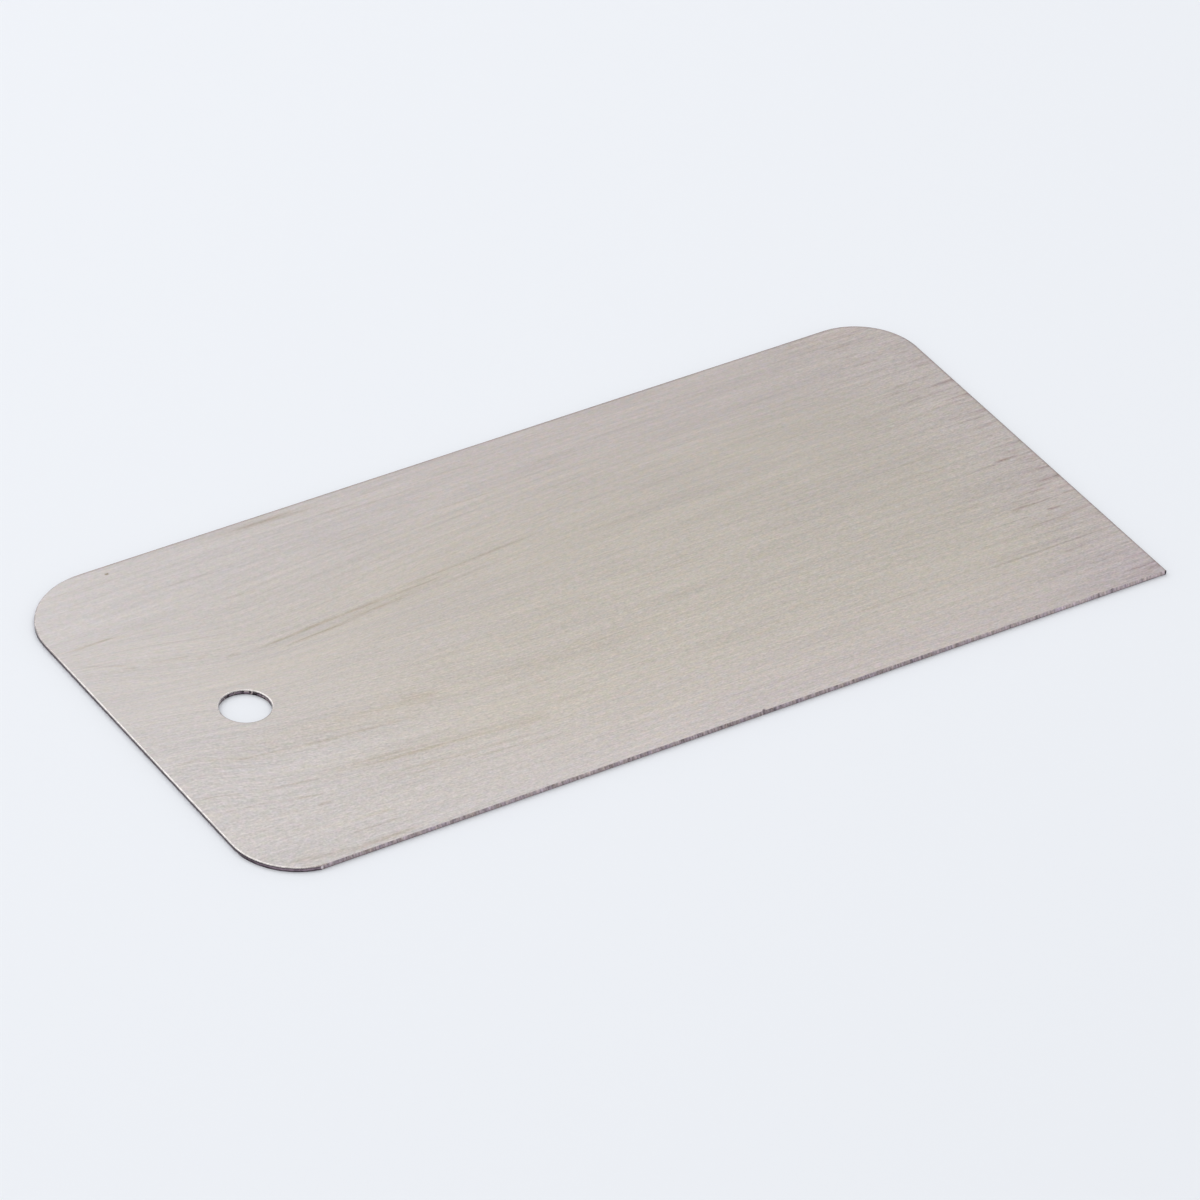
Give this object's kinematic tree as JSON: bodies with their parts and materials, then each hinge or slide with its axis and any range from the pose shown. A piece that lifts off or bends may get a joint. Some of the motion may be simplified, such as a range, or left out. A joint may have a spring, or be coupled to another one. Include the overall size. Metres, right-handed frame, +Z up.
{
  "type": "steel ski scraper",
  "caption": "Thin flat steel scraper blade with rounded corners, a square corner, a ground scraping edge and a hanging hole, for scraping ski bases by hand.",
  "frame": {"origin": "middle of the blade's bounding box, on its underside", "axes": "+X along the length, from the hanging hole towards the plain end; +Y across the width, away from the scraping edge; +Z up through the sheet"},
  "size_m": [0.12, 0.06, 0.0006],
  "materials": {
    "blade_steel": "bare strip steel brushed along its length, faintly smoke-stained, with a ground scraping edge and darker punched edges"
  },
  "bodies": {
    "root": {"scraper_blade": "blade_steel"}
  },
  "joints": []
}
